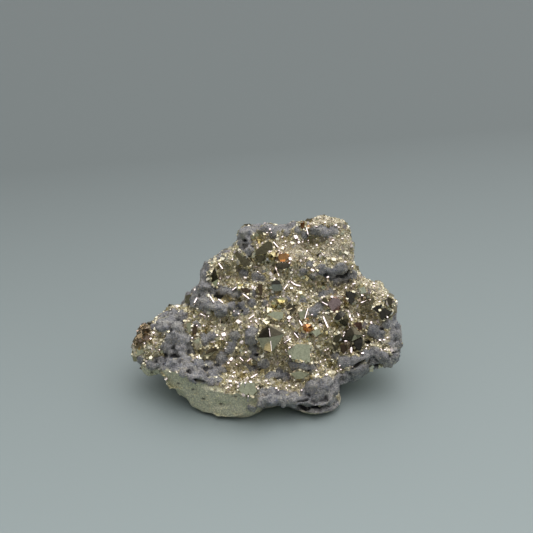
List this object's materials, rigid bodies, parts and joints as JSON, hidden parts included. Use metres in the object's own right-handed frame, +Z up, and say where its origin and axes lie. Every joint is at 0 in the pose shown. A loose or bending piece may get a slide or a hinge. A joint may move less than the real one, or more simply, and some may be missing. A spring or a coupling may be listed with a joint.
{
  "type": "pyrite specimen",
  "caption": "Natural pyrite cluster: brassy octahedral and cubic crystals with fine glitter in a grey crust, a pale broken edge below, resting on its own underside.",
  "frame": {"origin": "centre of the bounding box on the surface that the specimen rests on", "axes": "+X along its length, to the right of someone facing the crystals; -Y towards that viewer; +Z up"},
  "size_m": [0.0963, 0.0634, 0.0523],
  "materials": {
    "pyrite": "metallic pale brass crystals, flat bright faces",
    "grey_crust": "dull granular grey crust with fine sparkle",
    "massive_pyrite": "pale khaki broken surface, satin metallic grain with small pits",
    "tarnished_pyrite": "orange to purple tarnish on single crystals"
  },
  "bodies": {
    "root": {"pyrite_cluster": "pyrite"}
  },
  "joints": []
}
